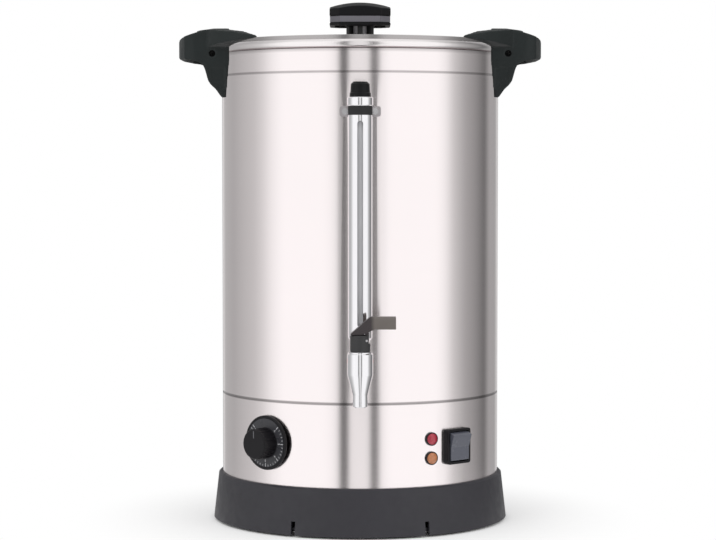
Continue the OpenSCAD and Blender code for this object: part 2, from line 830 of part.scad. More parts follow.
module gauge_bracket() {
    color("whitesmoke") difference() {
        union() {
            along_front(-body_r + 3, saddle_z) linear_extrude(gauge_out + 3)
                rounded_rect(11, 6.4, 1);
            along_front(-body_r + 3, saddle_z) linear_extrude(3 + saddle_t)
                rounded_rect(36, 9, 2);
        }
        cylinder(r = body_r, h = rim_z, $fn = 360);
        translate([0, gauge_y, 0]) cylinder(r = guard_r, h = rim_z);
        for (x = [-1, 1]) translate([x * saddle_screw_x, 0, saddle_z]) rotate([90, 0, 0])
            cylinder(r = saddle_screw_r, h = body_r + 10);
    }
}

module bracket_screws() {
    color("silver") for (x = [-1, 1])
        translate([x * saddle_screw_x, -body_r - saddle_t, saddle_z]) rotate([90, 0, 0])
            screw(2.9, 1.5, saddle_screw_r, 7);
}

/* ---------- tap ---------- */

spigot_r = 6;
socket_l = 8;

module tap_body() {
    spout_r = outlet_r + spout_t;
    color("whitesmoke") difference() {
        union() {
            translate([0, tap_y, 0]) rotate_extrude() polygon([
                [0, spout_z], [spout_r - 0.5, spout_z], [spout_r, spout_z + 0.5],
                [spout_r, cone_z], [barrel_r, seat_z], [barrel_r, barrel_z - 0.8],
                [barrel_r - 0.8, barrel_z], [0, barrel_z]
            ]);
            along_front(tee_front_y + socket_l, tap_z)
                cylinder(r = spigot_r, h = socket_l + 14);
            along_front(tee_front_y, tap_z) cylinder(r = tee_r - 1, h = 12);
        }
        translate([0, tap_y, spout_z - 1]) cylinder(r = outlet_r, h = seat_z);
        translate([0, tap_y, seat_z]) cylinder(r = chamber_r, h = barrel_h + 1);
        along_front(tee_front_y + socket_l + 1, tap_z)
            cylinder(r = shank_bore_r - 0.5, h = socket_l + 8);
    }
}

module tap_bonnet() {
    color("whitesmoke") translate([0, tap_y, 0]) rotate_extrude() polygon([
        [stem_r + run_fit, spring_z1], [chamber_r, spring_z1], [chamber_r, barrel_z],
        [barrel_r - 0.8, barrel_z], [barrel_r - 0.8, bonnet_z], [neck_r, bonnet_z],
        [neck_r, slot_z - 0.5], [stem_r + run_fit, slot_z - 0.5]
    ]);
}

module lever_hub() {
    color("#26262a") difference() {
        translate([0, tap_y, 0]) rotate_extrude() polygon([
            [neck_r + run_fit, hub_z], [hub_r, hub_z], [hub_r, hub_top - 0.8], [hub_r - 0.8, hub_top],
            [0, hub_top], [0, slot_z], [neck_r + run_fit, slot_z]
        ]);
        translate([-slot_half_w - 0.6, tap_y - slot_half_w, slot_z])
            cube([20, 2 * slot_half_w, 20]);
        translate([pivot_out, tap_y, pivot_z]) rotate([90, 0, 0])
            cylinder(r = pivot_pin_r, h = 30, center = true);
    }
}

module lever_pin() {
    pin_half_l = sqrt(hub_r * hub_r - pivot_out * pivot_out) - 0.4;
    color("silver") translate([pivot_out, tap_y, pivot_z]) rotate([90, 0, 0])
        cylinder(r = pivot_pin_r, h = 2 * pin_half_l, center = true);
}

// The lever's side view, with the stem's axis at x = 0
module lever_outline() {
    top = lever_z + 15.6;
    polygon([
        [-8.3, lever_z], [2, lever_z], [12, top - paddle_h], [lever_len, top - paddle_h],
        [lever_len, top], [8.5, top], [-8.3, lever_z + 1]
    ]);
}

module lever_tongue() {
    translate([pivot_out, pivot_z]) circle(tongue_r);
    translate([stem_r + 0.7, pivot_z - 1.2]) square([pivot_out - stem_r - 0.7, head_z - pivot_z + 0.8]);
    translate([head_r + 0.4, pivot_z])
        square([pivot_out + tongue_r - head_r - 0.4, lever_z - pivot_z + 2]);
}

module tap_lever() {
    color("#4a4547") translate([0, tap_y, 0]) difference() {
        union() {
            difference() {
                rotate([90, 0, 0]) linear_extrude(paddle_w, center = true) lever_outline();
                // room for the stem's head
                translate([0, 0, lever_z - 1]) cylinder(r = head_r + 0.7, h = 2.9);
                // long chamfers that leave the paddle a narrower top
                for (s = [-1, 1]) translate([0, s * paddle_w / 2, lever_z + 15.6])
                    rotate([45, 0, 0]) cube([100, 2.4, 2.4], center = true);
            }
            rotate([90, 0, 0]) linear_extrude(2 * tongue_half_w, center = true) lever_tongue();
            // the two prongs that lift the stem's head
            for (s = [-1, 1]) translate([0, s * (prong_y + slot_half_w - 0.15) / 2, 0])
                rotate([90, 0, 0]) linear_extrude(slot_half_w - 0.15 - prong_y, center = true) {
                    translate([0, pivot_z - 0.25]) circle(nose_r);
                    translate([0, pivot_z - 0.25 - nose_r]) square([pivot_out, 2 * nose_r - 0.4]);
                }
        }
        translate([pivot_out, 0, pivot_z]) rotate([90, 0, 0])
            cylinder(r = pivot_pin_r + run_fit, h = 30, center = true);
    }
}

module tap_stem() {
    color("silver") translate([0, tap_y, 0]) rotate_extrude() polygon([
        [0, disc_z - seal_t + 1], [stem_r, disc_z - seal_t + 1], [stem_r, disc_z],
        [chamber_r - 1.2, disc_z], [chamber_r - 1.2, disc_z + disc_t], [stem_r, disc_z + disc_t],
        [stem_r, head_z], [head_r, head_z], [head_r, head_z + head_t - 0.4],
        [head_r - 0.4, head_z + head_t], [0, head_z + head_t]
    ]);
}

module stem_seal() {
    color("firebrick") translate([0, tap_y, 0]) rotate_extrude() polygon([
        [0, seat_z], [chamber_r - 1.8, seat_z], [chamber_r - 1.4, seat_z + 1],
        [chamber_r - 1.4, disc_z], [stem_r, disc_z], [stem_r, seat_z + 1], [0, seat_z + 1]
    ]);
}

spring_turns = 4.5;
spring_wire_r = 0.6;
spring_r = 5;
spring_steps = 14;

// Corners of one ring of the spring's wire, at step i
function spring_ring(i, n, h) = [
    for (k = [0:5]) let (a = i * 360 / spring_steps, b = k * 60)
        [(spring_r + spring_wire_r * cos(b)) * cos(a), (spring_r + spring_wire_r * cos(b)) * sin(a),
            h * i / n + spring_wire_r * sin(b)]
];

module tap_spring() {
    n = round(spring_turns * spring_steps);
    h = spring_z1 - spring_z0 - 2 * spring_wire_r;
    points = [for (i = [0:n]) each spring_ring(i, n, h)];
    sides = [for (i = [0:n - 1], k = [0:5]) let (j = (k + 1) % 6)
        each [[6 * i + k, 6 * i + 6 + k, 6 * i + 6 + j], [6 * i + k, 6 * i + 6 + j, 6 * i + j]]];
    ends = [for (k = [1:4]) each [[0, k, k + 1], [6 * n, 6 * n + k + 1, 6 * n + k]]];
    color("silver") translate([0, tap_y, spring_z0 + spring_wire_r])
        polyhedron(points, concat(sides, ends));
}

/* ---------- handles ---------- */

handle_screw_r = 2;
handle_nut_w = 8;
handle_nut_l = 7;
handle_screw_z = rim_z - 15;
plate_ro = body_r + 4;
strap_x = body_r + 5;
bracket_t = 2;
bracket_h = 13.5;
bracket_z = handle_screw_z - bracket_h / 3;
boss_half_w = handle_screw_y + 6;
cheek_screw_x = body_r + 6.2;
cheek_screw_z = rim_z - 9.6;
cheek_screw_r = 1.7;
hood_half_y = body_r * sin(hood_az);

module on_both_sides() {
    children();
    rotate([0, 0, 180]) children();
}

module handle_screw_places() {
    on_both_sides() for (s = [-1, 1]) on_side(90, handle_screw_z)
        translate([s * handle_screw_y, 0, 0]) children();
}

// Side view of the grip and its cheeks: x is the distance from the body's axis
module grip_side(inset) {
    x1 = body_r + handle_reach;
    lip_top = rim_z + 4.4 - inset * 0.6;
    top = rim_z + handle_top - inset;
    intersection() {
        polygon([
            [body_r - 20, rim_z - handle_drop], [body_r - 1.5, rim_z - handle_drop],
            [body_r + 3.7, rim_z - 41.5], [body_r + 7.6, rim_z - 38], [body_r + 10.4, rim_z - 34],
            [body_r + 13.2, rim_z - 23.2], [body_r + 15, rim_z - 19.5], [body_r + 18, rim_z - 17.4],
            [body_r + 23, rim_z - 15.8], [x1 - 2, rim_z + 2 - handle_lip_h],
            [x1, rim_z + 4 - handle_lip_h], [x1, lip_top - 2], [x1 - 2, lip_top],
            [body_r + 24, top - 4.6], [body_r + 14, top - 1.6], [body_r + 5, top - 0.2],
            [body_r - 20, top]
        ]);
        square([x1 - inset, rim_z * 2]);
    }
}

// Plan of the grip
module grip_plan(inset) {
    w = handle_half_w - inset;
    x1 = body_r + handle_reach - inset;
    corner = 21 - inset;
    bulge_r = 130;
    intersection() {
        union() {
            translate([0, -w + corner]) square([x1 + 4, 2 * (w - corner)]);
            translate([0, -w]) square([x1 - corner, 2 * w]);
            for (s = [-1, 1]) translate([x1 - corner, s * (w - corner)]) circle(corner);
        }
        translate([x1 - bulge_r, 0]) circle(bulge_r, $fn = 200);
    }
}

// End view of the grip, y along the body and z up: narrower towards its lower end
module grip_end(inset) {
    w = handle_half_w - inset;
    low = handle_low_half_w - inset;
    polygon([
        [-w, rim_z - 16], [-w + 1, rim_z + handle_top + 5], [w - 1, rim_z + handle_top + 5],
        [w, rim_z - 16], [low, rim_z - handle_drop - 1], [-low, rim_z - handle_drop - 1]
    ]);
}

module along_y(w) {
    rotate([90, 0, 0]) linear_extrude(w, center = true) children();
}

module along_x(x1) {
    rotate([90, 0, 90]) linear_extrude(x1) children();
}

// The crescent that hugs the rim on both sides of the grip
module hood() {
    tip = [(body_r + 2) * cos(hood_az), (body_r + 2) * sin(hood_az)];
    mid = [body_r + 10, handle_half_w];
    c = (mid[0] * mid[0] + mid[1] * mid[1] - tip[0] * tip[0] - tip[1] * tip[1])
        / (2 * (mid[0] - tip[0]));
    top = rim_z + handle_top;
    intersection() {
        translate([c, 0, rim_z - 8]) cylinder(r = norm([tip[0] - c, tip[1]]), h = 40, $fn = 160);
        along_x(2 * body_r) polygon([
            [-hood_half_y - 4, rim_z + 3], [-hood_half_y + 2, top - 7.5], [-hood_half_y + 14, top - 4],
            [-handle_half_w, top - 1], [0, top], [handle_half_w, top - 1],
            [hood_half_y - 14, top - 4], [hood_half_y - 2, top - 7.5], [hood_half_y + 4, rim_z + 3],
            [hood_half_y - 26, rim_z - 1.5], [handle_half_w - 2, rim_z - 4],
            [-handle_half_w + 2, rim_z - 4], [-hood_half_y + 26, rim_z - 1.5]
        ]);
    }
}

module handle() {
    difference() {
        union() {
            intersection() {
                along_y(4 * handle_half_w) grip_side(0);
                linear_extrude(2 * rim_z) grip_plan(0);
                along_x(2 * body_r) grip_end(0);
            }
            hood();
        }
        translate([0, 0, rim_z - handle_drop - 10]) cylinder(r = body_r, h = handle_drop + 60);
        // the pocket for the fingers, open below and outwards under the lip
        difference() {
            intersection() {
                along_y(4 * handle_half_w) {
                    grip_side(handle_t);
                    translate([body_r, rim_z - handle_drop - 10])
                        square([handle_reach - handle_t, handle_drop + 6]);
                }
                linear_extrude(2 * rim_z) grip_plan(handle_t);
                along_x(2 * body_r) grip_end(handle_t);
            }
            translate([0, 0, 1]) cylinder(r = plate_ro, h = 2 * rim_z);
            // the flat boss that the strap is screwed down on
            translate([0, -boss_half_w, bracket_z - 1])
                cube([strap_x, 2 * boss_half_w, bracket_h + 2]);
        }
        // shallow panels on the cheeks
        difference() {
            along_y(4 * handle_half_w) polygon([
                [body_r - 6, rim_z - 42], [body_r - 0.5, rim_z - 42], [body_r + 6.4, rim_z - 34],
                [body_r + 8.4, rim_z - 22], [body_r - 6, rim_z - 22]
            ]);
            along_x(2 * body_r) grip_end(0.9);
        }
        for (s = [-1, 1]) translate([cheek_screw_x, s * handle_half_w, cheek_screw_z])
            rotate([90, 0, 0]) {
                cylinder(r = 3.2, h = 4.4, center = true);
                cylinder(r = cheek_screw_r, h = 12, center = true);
            }
        for (s = [-1, 1]) translate([body_r - 4, s * handle_screw_y, handle_screw_z])
            rotate([0, 90, 0]) cylinder(r = handle_screw_r, h = 12);
    }
}

module handle_right() {
    color("#2b3233") handle();
}

module handle_left() {
    color("#2b3233") rotate([0, 0, 180]) handle();
}

// Plan of a strap: flat on the handle's boss, bent back beside it, with a tab along each cheek
module strap_plan() {
    inner_w = handle_half_w - handle_t - 1.2;
    set_back = 6;
    for (s = [0, 1]) mirror([0, s]) polygon([
        [strap_x, -e], [strap_x, boss_half_w + 1], [strap_x - set_back, inner_w - 2.7],
        [strap_x - set_back, inner_w], [cheek_screw_x + 6, inner_w],
        [cheek_screw_x + 6, inner_w - bracket_t], [strap_x - set_back + 2.2, inner_w - bracket_t],
        [strap_x + bracket_t, boss_half_w + 2], [strap_x + bracket_t, -e]
    ]);
}

// Steel straps inside the handles, which the cheeks and the rim collar are screwed to
module handle_brackets() {
    color("silver") on_both_sides() difference() {
        translate([0, 0, bracket_z]) linear_extrude(bracket_h) strap_plan();
        translate([cheek_screw_x, 0, cheek_screw_z]) rotate([90, 0, 0])
            cylinder(r = cheek_screw_r, h = 2 * handle_half_w, center = true);
        for (s = [-1, 1]) translate([strap_x - 1, s * handle_screw_y, handle_screw_z])
            rotate([0, 90, 0]) cylinder(r = handle_screw_r, h = bracket_t + 2);
    }
}

module handle_screws() {
    color("silver") handle_screw_places() translate([0, 0, strap_x + bracket_t - body_r])
        screw(4, 2, handle_screw_r, strap_x + bracket_t - lap_ri + 5);
}

module handle_nuts() {
    color("silver") intersection() {
        handle_screw_places() translate([0, 0, -handle_nut_l]) difference() {
            hex(handle_nut_w, handle_nut_l);
            translate([0, 0, -1]) cylinder(r = handle_screw_r, h = handle_nut_l + 2);
        }
        cylinder(r = jacket_ri, h = rim_z);
    }
}

module cheek_screws() {
    color("silver") on_both_sides() for (s = [-1, 1])
        translate([cheek_screw_x, s * (handle_half_w - 2.2), cheek_screw_z])
            rotate([s > 0 ? -90 : 90, 0, 0]) screw(3, 1.4, cheek_screw_r, 5);
}

/* ---------- lid ---------- */

module lid_pan() {
    hole_r = 2.6;
    color("silver") rotate_extrude() difference() {
        union() {
            intersection() {
                difference() {
                    translate([0, lid_z - dome_r]) circle(dome_r, $fn = 1440);
                    translate([0, lid_z - dome_r]) circle(dome_r - lid_t, $fn = 1440);
                }
                translate([hole_r, rim_z]) square([lid_r - hole_r, lid_rise + 1]);
            }
            translate([lid_r - lid_t, rim_z]) square([lid_t, lid_hem_h - 0.2]);
            // the crown is pressed flat under the knob
            translate([hole_r, lid_z - lid_t]) square([knob_flat_r - hole_r, lid_t]);
        }
    }
}

module lid_ring() {
    color("silver") rotate_extrude() intersection() {
        union() {
            translate([lid_ring_r - lid_t, rim_z - lid_ring_drop]) square([lid_t, 40]);
            difference() {
                translate([lid_ring_r - 8, rim_z]) square([8, 40]);
                translate([0, lid_z - dome_r]) circle(dome_r - 2 * lid_t, $fn = 1440);
            }
        }
        translate([0, lid_z - dome_r]) circle(dome_r - lid_t, $fn = 1440);
    }
}

module knob_washer() {
    color("silver") ring(spacer_d / 2 + 2, lid_screw_r + 0.2, lid_z, spacer_z);
}

lid_screw_r = 2.4;

module knob_spacer() {
    rib_w = 4.8;
    core_r = spacer_d / 2 - 5.5;
    color("#3a3a3e") difference() {
        union() {
            translate([0, 0, spacer_z]) cylinder(r = core_r, h = spacer_h);
            translate([0, 0, spacer_z]) cylinder(r = spacer_d / 2, h = 1.2);
            intersection() {
                for (k = [0:spacer_ribs - 1]) rotate([0, 0, k * 360 / spacer_ribs])
                    translate([-rib_w / 2, -spacer_d / 2, spacer_z]) cube([rib_w, spacer_d / 2, spacer_h]);
                translate([0, 0, spacer_z]) cylinder(r = spacer_d / 2, h = spacer_h);
            }
        }
        translate([0, 0, spacer_z - 1]) cylinder(r = lid_screw_r + 0.2, h = spacer_h + 2);
    }
}

// The knob's plan: a square with its corners cut off
module knob_plan(inset) {
    h = knob_w / 2 - inset;
    c = h - knob_corner;
    polygon([[-c, -h], [c, -h], [h, -c], [h, c], [c, h], [-c, h], [-h, c], [-h, -c]]);
}

module lid_knob() {
    lip_h = 2.4;
    band_h = 6.4;
    edge_r = 6;
    wall = 3.2;
    reach = knob_w * 0.62;
    color("#141416") difference() {
        union() {
            intersection() {
                translate([0, 0, knob_z]) linear_extrude(knob_h) knob_plan(0);
                // a shallow crown over rounded shoulders
                rotate_extrude() intersection() {
                    translate([0, knob_top - 90]) circle(90, $fn = 360);
                    square([reach, 2 * knob_top]);
                    union() {
                        translate([0, knob_z]) square([reach, knob_h - 8.5]);
                        translate([0, knob_z]) square([reach - 9, knob_h]);
                        translate([reach - 9, knob_top - 10.5]) circle(9);
                    }
                }
            }
        }
        // the grip band is set back between the crown and the lip
        translate([0, 0, knob_z + lip_h]) linear_extrude(band_h) difference() {
            square(2 * knob_w, center = true);
            knob_plan(1.2);
        }
        // hollow underside around the central boss
        translate([0, 0, knob_z - e]) difference() {
            linear_extrude(knob_h - edge_r - wall) knob_plan(wall + 1.2);
            cylinder(r = spacer_d / 2, h = knob_h);
            for (a = [0:45:135]) rotate([0, 0, a]) translate([-knob_w, -0.9, 1.5])
                cube([2 * knob_w, 1.8, knob_h]);
        }
        translate([0, 0, knob_z - 1]) cylinder(r = lid_screw_r, h = knob_h - 8);
    }
}

module lid_screw() {
    color("silver") translate([0, 0, lid_z - lid_t]) mirror([0, 0, 1])
        screw(5, 2.4, lid_screw_r, lid_t + washer_t + spacer_h + knob_h - 10);
}

base_skirt();
feet();
foot_screws();
bottom_plate();
control_band();
outer_jacket();
rim_collar();
inner_tank();
element_plate();
heating_element();
element_clamp();
thermal_cutout();
sensor_bulb();
thermostat_body();
thermostat_nut();
terminal_block();
cable_gland();
gland_nut();
lamp_bodies();
red_lens();
amber_lens();
switch_housing();
shank_seals();
shank_spacer();
shank_nut();
gauge_tee();
gauge_nut();
gauge_glass();
gauge_guard();
gauge_seal();
gauge_collar();
gauge_cap();
gauge_bracket();
bracket_screws();
tap_body();
tap_bonnet();
handle_left();
handle_right();
handle_brackets();
handle_screws();
handle_nuts();
cheek_screws();
lid_pan();
lid_ring();
knob_washer();
knob_spacer();
lid_knob();
lid_screw();
dial_knob();
dial_scale();
dial_spindle();
switch_rocker();
lever_hub();
lever_pin();
tap_lever();
tap_stem();
stem_seal();
tap_spring();
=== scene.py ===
import json
import math

import bmesh
import bpy
from mathutils import Matrix, Vector


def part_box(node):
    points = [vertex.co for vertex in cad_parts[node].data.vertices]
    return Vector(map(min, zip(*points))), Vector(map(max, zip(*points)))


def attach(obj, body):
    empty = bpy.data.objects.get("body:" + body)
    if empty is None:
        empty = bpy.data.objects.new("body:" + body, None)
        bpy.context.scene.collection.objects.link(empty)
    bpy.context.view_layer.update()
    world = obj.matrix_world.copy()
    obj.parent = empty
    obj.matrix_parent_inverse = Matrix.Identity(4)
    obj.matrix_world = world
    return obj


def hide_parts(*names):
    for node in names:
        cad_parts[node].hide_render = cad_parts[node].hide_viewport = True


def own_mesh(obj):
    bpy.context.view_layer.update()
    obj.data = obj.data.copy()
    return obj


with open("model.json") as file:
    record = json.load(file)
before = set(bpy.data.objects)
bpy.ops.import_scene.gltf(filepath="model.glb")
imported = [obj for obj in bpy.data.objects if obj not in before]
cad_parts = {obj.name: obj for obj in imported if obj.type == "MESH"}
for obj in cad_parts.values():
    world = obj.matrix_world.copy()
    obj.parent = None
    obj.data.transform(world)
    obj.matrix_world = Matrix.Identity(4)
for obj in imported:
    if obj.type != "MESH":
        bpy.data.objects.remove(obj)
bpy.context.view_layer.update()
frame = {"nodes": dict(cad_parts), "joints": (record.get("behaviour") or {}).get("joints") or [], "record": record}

nodes = frame["nodes"]
joints = {joint["name"]: joint for joint in frame["joints"]}
MM = 0.001


# ---------- node trees ----------

# Nearly all values of a noise lie between these two.
NOISE_LOW, NOISE_HIGH = 0.3, 0.7


class Graph:
    """A node tree with a short call for each node it needs. Calls take numbers, colours or outputs."""

    def __init__(self, tree):
        self.tree = tree

    def node(self, kind, **settings):
        made = self.tree.nodes.new("ShaderNode" + kind)
        for key, value in settings.items():
            setattr(made, key, value)
        return made

    def feed(self, socket, value):
        """Links an output to an input, or sets the input to a number or an RGB colour."""
        if isinstance(value, bpy.types.NodeSocket):
            self.tree.links.new(value, socket)
        elif isinstance(value, tuple):
            socket.default_value = (*value, 1)
        else:
            socket.default_value = value

    def fed(self, kind, *values, **settings):
        """The outputs of a new node whose first inputs take these values."""
        made = self.node(kind, **settings)
        for socket, value in zip(made.inputs, values):
            self.feed(socket, value)
        return made.outputs

    def named(self, kind, inputs, **settings):
        """The outputs of a new node whose named inputs take these values."""
        made = self.node(kind, **settings)
        for key, value in inputs.items():
            self.feed(made.inputs[key], value)
        return made.outputs

    def math(self, operation, *values):
        return self.fed("Math", *values, operation=operation)[0]

    def place(self, kind="Object"):
        """Where a point is in the model's frame, or with Generated the direction of a world's ray."""
        return self.node("TexCoord").outputs[kind]

    def split(self, vector):
        """A vector's x, y and z."""
        return self.fed("SeparateXYZ", vector)

    def vector(self, *values):
        return self.fed("CombineXYZ", *values)[0]

    def length(self, vector):
        return self.fed("VectorMath", vector, operation="LENGTH")["Value"]

    def noise(self, scale, detail=4.0, rough=0.5, vector=None):
        vector = self.place() if vector is None else vector
        inputs = {"Scale": scale, "Detail": detail, "Roughness": rough, "Vector": vector}
        return self.named("TexNoise", inputs)["Fac"]

    def spread(self, value, low, high, from_low=NOISE_LOW, from_high=NOISE_HIGH, smooth=False):
        """Goes from low to high as the value goes from from_low to from_high."""
        inputs = {"Value": value, "From Min": from_low, "From Max": from_high}
        inputs.update({"To Min": low, "To Max": high})
        kind = "SMOOTHSTEP" if smooth else "LINEAR"
        return self.named("MapRange", inputs, interpolation_type=kind)["Result"]

    def ramp(self, value, stops):
        """A colour ramp through stops of (position, colour)."""
        made = self.node("ValToRGB")
        self.feed(made.inputs["Fac"], value)
        elements = made.color_ramp.elements
        elements[0].position, elements[1].position = stops[0][0], stops[-1][0]
        for position, _ in stops[1:-1]:
            elements.new(position)
        for element, (_, color) in zip(elements, stops):
            element.color = (*color, 1)
        return made.outputs["Color"]

    def two_tone(self, noise, low_color, high_color):
        return self.ramp(noise, [(NOISE_LOW, low_color), (NOISE_HIGH, high_color)])

    def mix(self, factor, a, b):
        """A colour that goes from a to b with the factor."""
        return self.named("Mix", {"Factor": factor, "A": a, "B": b}, data_type="RGBA")["Result"]

    def shader(self, kind, color):
        """A shader of one colour, such as a Background or an Emission."""
        return self.named(kind, {"Color": color})[0]

    def mix_shaders(self, factor, a, b):
        return self.fed("MixShader", factor, a, b)[0]


def empty_graph(owner):
    """The node tree of a material or world, cleared."""
    owner.use_nodes = True
    owner.node_tree.nodes.clear()
    return Graph(owner.node_tree)


class Finish(Graph):
    """A new material on the Principled shader. Its inputs are given as in Base_Color=output."""

    def __init__(self, name, **inputs):
        self.mat = bpy.data.materials.new(name)
        self.mat.use_nodes = True
        super().__init__(self.mat.node_tree)
        self.bsdf = self.tree.nodes["Principled BSDF"]
        self.set(**inputs)

    def set(self, **inputs):
        for key, value in inputs.items():
            self.feed(self.bsdf.inputs[key.replace("_", " ")], value)

    def bump(self, height, strength, distance):
        inputs = {"Strength": strength, "Distance": distance, "Height": height}
        self.set(Normal=self.named("Bump", inputs)["Normal"])


# ---------- materials ----------


def shade(color, k):
    return tuple(min(1.0, x * k) for x in color)


# How often the brushed grain changes: per metre across it, and per radian along it on walls and faces
GRAIN_ACROSS = 1800.0
GRAIN_ALONG_WALL, GRAIN_ALONG_FACE = 0.55, 0.35


def steel(name, color, rough, aniso=0.0, grain=0.0, turned=False, painted_dark_bands=()):
    """Brushed steel with its grain round the Z axis. Painted shade and reflection darken it in a band round each
    given height:
    (height, distance up to which it is darkest, distance at which the dark has faded out, share of the dark
    colour)."""
    s = Finish(name, Metallic=1.0, Roughness=rough, Anisotropic=aniso)
    x, y, z = s.split(s.place())
    around = s.math("ARCTAN2", y, x)
    along = s.math("MULTIPLY", around, GRAIN_ALONG_FACE if turned else GRAIN_ALONG_WALL)
    across = s.math("MULTIPLY", s.length(s.vector(x, y)) if turned else z, GRAIN_ACROSS)
    lines = s.noise(1.0, detail=6.0, rough=0.65, vector=s.vector(along, across))
    cloud = s.noise(9.0, detail=3.0)
    both = s.math("ADD", s.math("MULTIPLY", lines, 0.7), s.math("MULTIPLY", cloud, 0.3))
    tone = s.two_tone(both, shade(color, 0.975), shade(color, 1.01))
    # Painted shade and reflection: the colour darkens towards each band's height
    for height, inner, outer, depth in painted_dark_bands:
        away = s.math("ABSOLUTE", s.math("SUBTRACT", z, height))
        tone = s.mix(s.spread(away, depth, 0.0, inner, outer), tone, shade(color, 0.06))
    s.set(Base_Color=tone, Roughness=s.spread(lines, rough - grain, rough + grain))
    if aniso:
        tangent = s.node("Tangent", direction_type="RADIAL", axis="Z")
        s.set(Tangent=tangent.outputs[0], Anisotropic_Rotation=0.25)
    s.bump(lines, 0.35, 0.02 * MM)
    return s.mat


def plated(name, color, rough):
    """Bright plating with faint polishing marks and a little haze."""
    s = Finish(name, Metallic=1.0, Roughness=rough)
    haze = s.noise(60.0, detail=5.0, rough=0.6)
    tone = s.two_tone(s.noise(22.0), shade(color, 0.96), color)
    s.set(Base_Color=tone, Roughness=s.spread(haze, rough * 0.6, rough * 1.6))
    s.bump(s.noise(350.0, detail=3.0), 0.1, 0.01 * MM)
    return s.mat


def moulded(name, color, rough, grain=900.0, depth=0.04 * MM, coat=0.0, spec=0.5, rub=1.35):
    """Moulded plastic or rubber: fine grain of that depth, slow colour drift and lighter rubbed edges."""
    s = Finish(name, Roughness=rough, Coat_Weight=coat, Coat_Roughness=0.15, Specular_IOR_Level=spec)
    drift = s.noise(14.0, rough=0.6)
    tone = s.two_tone(drift, shade(color, 0.9), shade(color, 1.12))
    edge = s.node("NewGeometry").outputs["Pointiness"]
    worn = s.math("MULTIPLY", s.spread(edge, 0.0, 1.0, 0.52, 0.60), 0.55)
    patches = s.spread(s.noise(120.0), rough - 0.05, rough + 0.07)
    s.set(Base_Color=s.mix(worn, tone, shade(color, rub)), Roughness=patches)
    s.bump(s.noise(grain, detail=3.0, rough=0.6), 0.35, depth)
    return s.mat


def lens_glass(name, color):
    """A pilot lamp's coloured lens, with small moulded cells in it."""
    s = Finish(name, Roughness=0.16, Coat_Weight=0.6, Coat_Roughness=0.06)
    s.set(Subsurface_Weight=0.15, Subsurface_Scale=2 * MM)
    cells = s.named("TexVoronoi", {"Scale": 700.0, "Vector": s.place()})["Distance"]
    s.set(Base_Color=s.ramp(cells, [(0.0, shade(color, 1.25)), (0.8, shade(color, 0.75))]))
    s.bump(cells, 0.25, 0.2 * MM)
    return s.mat


def clear_glass(name):
    s = Finish(name, Roughness=0.2, IOR=1.45, Transmission_Weight=0.2)
    s.set(Base_Color=s.two_tone(s.noise(30.0), (0.90, 0.90, 0.92), (0.95, 0.95, 0.97)))
    s.bump(s.noise(90.0), 0.05, 0.05 * MM)
    return s.mat


CORE_R, RIBS_FROM_R = 8.2 * MM, 9.0 * MM


def spacer_moulding(name):
    """The knob's spacer: black ribs round a lighter core."""
    s = Finish(name, Roughness=0.35)
    x, y, _ = s.split(s.place())
    core = s.spread(s.length(s.vector(x, y)), 1.0, 0.0, CORE_R, RIBS_FROM_R)
    ribs = s.two_tone(s.noise(40.0), (0.004, 0.004, 0.005), (0.007, 0.007, 0.008))
    s.set(Base_Color=s.mix(core, ribs, (0.42, 0.41, 0.43)))
    s.bump(s.noise(900.0, detail=3.0), 0.3, 0.02 * MM)
    return s.mat


def darker_end(mat, color, near, far):
    """A copy of the material that has this colour up to near along X and its own colour from far on."""
    mat = mat.copy()
    graph = Graph(mat.node_tree)
    base = graph.tree.nodes["Principled BSDF"].inputs["Base Color"]
    x, _, _ = graph.split(graph.place())
    own = base.links[0].from_socket
    graph.feed(base, graph.mix(graph.spread(x, 0.0, 1.0, near, far), color, own))
    return mat


# Painted shade in the open seams below and above the jacket, painted shade and reflection under the rolled rim,
# and a painted reflection on the lid's hem
JACKET_LOW, JACKET_HIGH = (corner.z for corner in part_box("outer_jacket"))
BODY_PAINTED_SHADE = [
    (JACKET_LOW - 0.6 * MM, 0.8 * MM, 1.7 * MM, 0.62),
    (JACKET_HIGH + 0.6 * MM, 0.6 * MM, 1.5 * MM, 0.45),
    (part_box("rim_collar")[1].z + 0.9 * MM, 1.6 * MM, 4.2 * MM, 0.36),
]
LID_HEM_PAINTED_REFLECTION = [(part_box("lid_pan")[0].z + 1.6 * MM, 1.6 * MM, 2.6 * MM, 0.55)]

